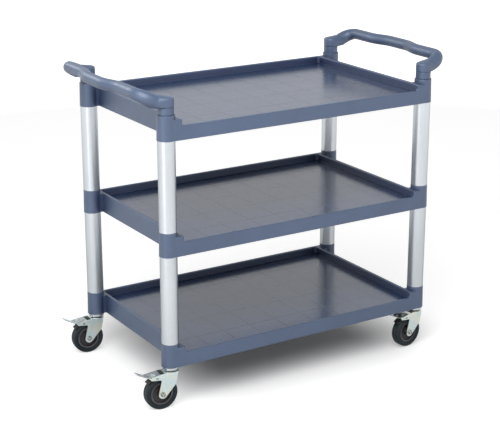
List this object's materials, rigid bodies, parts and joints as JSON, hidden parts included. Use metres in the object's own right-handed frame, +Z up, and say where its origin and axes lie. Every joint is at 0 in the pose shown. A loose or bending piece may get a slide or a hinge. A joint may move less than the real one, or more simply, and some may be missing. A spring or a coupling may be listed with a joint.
{
  "type": "serving trolley",
  "caption": "Three-tier serving trolley: moulded open-front trays on aluminium tubes, wavy push handles at both ends, braked swivel casters.",
  "frame": {"origin": "on the floor under the middle of the trolley", "axes": "+X along the length from the left handle to the right handle, low front rims towards -Y, +Z up"},
  "size_m": [1.0544, 0.5188, 0.8979],
  "materials": {
    "tray_plastic": "blue-grey polypropylene moulding, fine grain outside and satin deck",
    "handle_plastic": "blue-grey polypropylene moulding, satin",
    "tube_aluminium": "drawn tube, satin anodised",
    "plug_plastic": "plain black moulding, hidden",
    "bearing_chrome": "bright plated steel",
    "bearing_steel": "polished steel balls",
    "zinc_steel": "pressed sheet, bright zinc plated",
    "pedal_steel": "pressed sheet, zinc plated, rubbed by shoes",
    "bolt_steel": "zinc plated",
    "tyre_rubber": "matt black rubber",
    "wheel_plastic": "dark nylon, slightly glossy",
    "shoe_rubber": "matt black rubber"
  },
  "bodies": {
    "cart": {"bottom_tray": "tray_plastic", "middle_tray": "tray_plastic", "top_tray": "tray_plastic", "lower_tube_front_left": "tube_aluminium", "upper_tube_front_left": "tube_aluminium", "lower_tube_rear_left": "tube_aluminium", "upper_tube_rear_left": "tube_aluminium", "lower_tube_front_right": "tube_aluminium", "upper_tube_front_right": "tube_aluminium", "lower_tube_rear_right": "tube_aluminium", "upper_tube_rear_right": "tube_aluminium", "tube_plugs": "plug_plastic", "stem_sockets": "plug_plastic", "right_handle": "handle_plastic", "left_handle": "handle_plastic", "front_left_stem": "bearing_chrome", "rear_left_stem": "bearing_chrome", "front_right_stem": "bearing_chrome", "rear_right_stem": "bearing_chrome"},
    "front_left_swivel": {"front_left_fork": "zinc_steel", "front_left_bearing_balls": "bearing_steel", "front_left_axle_bolt": "bolt_steel", "front_left_axle_nut": "bolt_steel", "front_left_axle_sleeve": "bolt_steel", "front_left_brake_pin": "bolt_steel"},
    "front_left_wheel": {"front_left_tyre": "tyre_rubber", "front_left_wheel_centre": "wheel_plastic"},
    "front_left_brake": {"front_left_brake_pedal": "pedal_steel", "front_left_brake_shoe": "shoe_rubber"},
    "rear_left_swivel": {"rear_left_fork": "zinc_steel", "rear_left_bearing_balls": "bearing_steel", "rear_left_axle_bolt": "bolt_steel", "rear_left_axle_nut": "bolt_steel", "rear_left_axle_sleeve": "bolt_steel", "rear_left_brake_pin": "bolt_steel"},
    "rear_left_wheel": {"rear_left_tyre": "tyre_rubber", "rear_left_wheel_centre": "wheel_plastic"},
    "rear_left_brake": {"rear_left_brake_pedal": "pedal_steel", "rear_left_brake_shoe": "shoe_rubber"},
    "front_right_swivel": {"front_right_fork": "zinc_steel", "front_right_bearing_balls": "bearing_steel", "front_right_axle_bolt": "bolt_steel", "front_right_axle_nut": "bolt_steel", "front_right_axle_sleeve": "bolt_steel", "front_right_brake_pin": "bolt_steel"},
    "front_right_wheel": {"front_right_tyre": "tyre_rubber", "front_right_wheel_centre": "wheel_plastic"},
    "front_right_brake": {"front_right_brake_pedal": "pedal_steel", "front_right_brake_shoe": "shoe_rubber"},
    "rear_right_swivel": {"rear_right_fork": "zinc_steel", "rear_right_bearing_balls": "bearing_steel", "rear_right_axle_bolt": "bolt_steel", "rear_right_axle_nut": "bolt_steel", "rear_right_axle_sleeve": "bolt_steel", "rear_right_brake_pin": "bolt_steel"},
    "rear_right_wheel": {"rear_right_tyre": "tyre_rubber", "rear_right_wheel_centre": "wheel_plastic"},
    "rear_right_brake": {"rear_right_brake_pedal": "pedal_steel", "rear_right_brake_shoe": "shoe_rubber"}
  },
  "joints": [
    {"name": "front_left_swivel_turn", "type": "hinge", "parent": "cart", "child": "front_left_swivel", "pos_m": [-0.4225, -0.232, 0.108], "axis": [0, 0, 1], "continuous": true},
    {"name": "front_left_wheel_roll", "type": "hinge", "parent": "front_left_swivel", "child": "front_left_wheel", "pos_m": [-0.45442, -0.22977, 0.047], "axis": [0.0698, 0.9976, 0], "continuous": true},
    {"name": "front_left_brake_press", "type": "hinge", "parent": "front_left_swivel", "child": "front_left_brake", "pos_m": [-0.47038, -0.22865, 0.097], "axis": [-0.0698, -0.9976, 0], "range_deg": [0, 7]},
    {"name": "rear_left_swivel_turn", "type": "hinge", "parent": "cart", "child": "rear_left_swivel", "pos_m": [-0.4225, 0.232, 0.108], "axis": [0, 0, 1], "continuous": true},
    {"name": "rear_left_wheel_roll", "type": "hinge", "parent": "rear_left_swivel", "child": "rear_left_wheel", "pos_m": [-0.45442, 0.23423, 0.047], "axis": [0.0698, 0.9976, 0], "continuous": true},
    {"name": "rear_left_brake_press", "type": "hinge", "parent": "rear_left_swivel", "child": "rear_left_brake", "pos_m": [-0.47038, 0.23535, 0.097], "axis": [-0.0698, -0.9976, 0], "range_deg": [0, 7]},
    {"name": "front_right_swivel_turn", "type": "hinge", "parent": "cart", "child": "front_right_swivel", "pos_m": [0.4225, -0.232, 0.108], "axis": [0, 0, 1], "continuous": true},
    {"name": "front_right_wheel_roll", "type": "hinge", "parent": "front_right_swivel", "child": "front_right_wheel", "pos_m": [0.39067, -0.23534, 0.047], "axis": [-0.1045, 0.9945, 0], "continuous": true},
    {"name": "front_right_brake_press", "type": "hinge", "parent": "front_right_swivel", "child": "front_right_brake", "pos_m": [0.37476, -0.23702, 0.097], "axis": [0.1045, -0.9945, 0], "range_deg": [0, 7]},
    {"name": "rear_right_swivel_turn", "type": "hinge", "parent": "cart", "child": "rear_right_swivel", "pos_m": [0.4225, 0.232, 0.108], "axis": [0, 0, 1], "continuous": true},
    {"name": "rear_right_wheel_roll", "type": "hinge", "parent": "rear_right_swivel", "child": "rear_right_wheel", "pos_m": [0.39067, 0.23534, 0.047], "axis": [0.1045, 0.9945, 0], "continuous": true},
    {"name": "rear_right_brake_press", "type": "hinge", "parent": "rear_right_swivel", "child": "rear_right_brake", "pos_m": [0.37476, 0.23702, 0.097], "axis": [-0.1045, -0.9945, 0], "range_deg": [0, 7]}
  ]
}
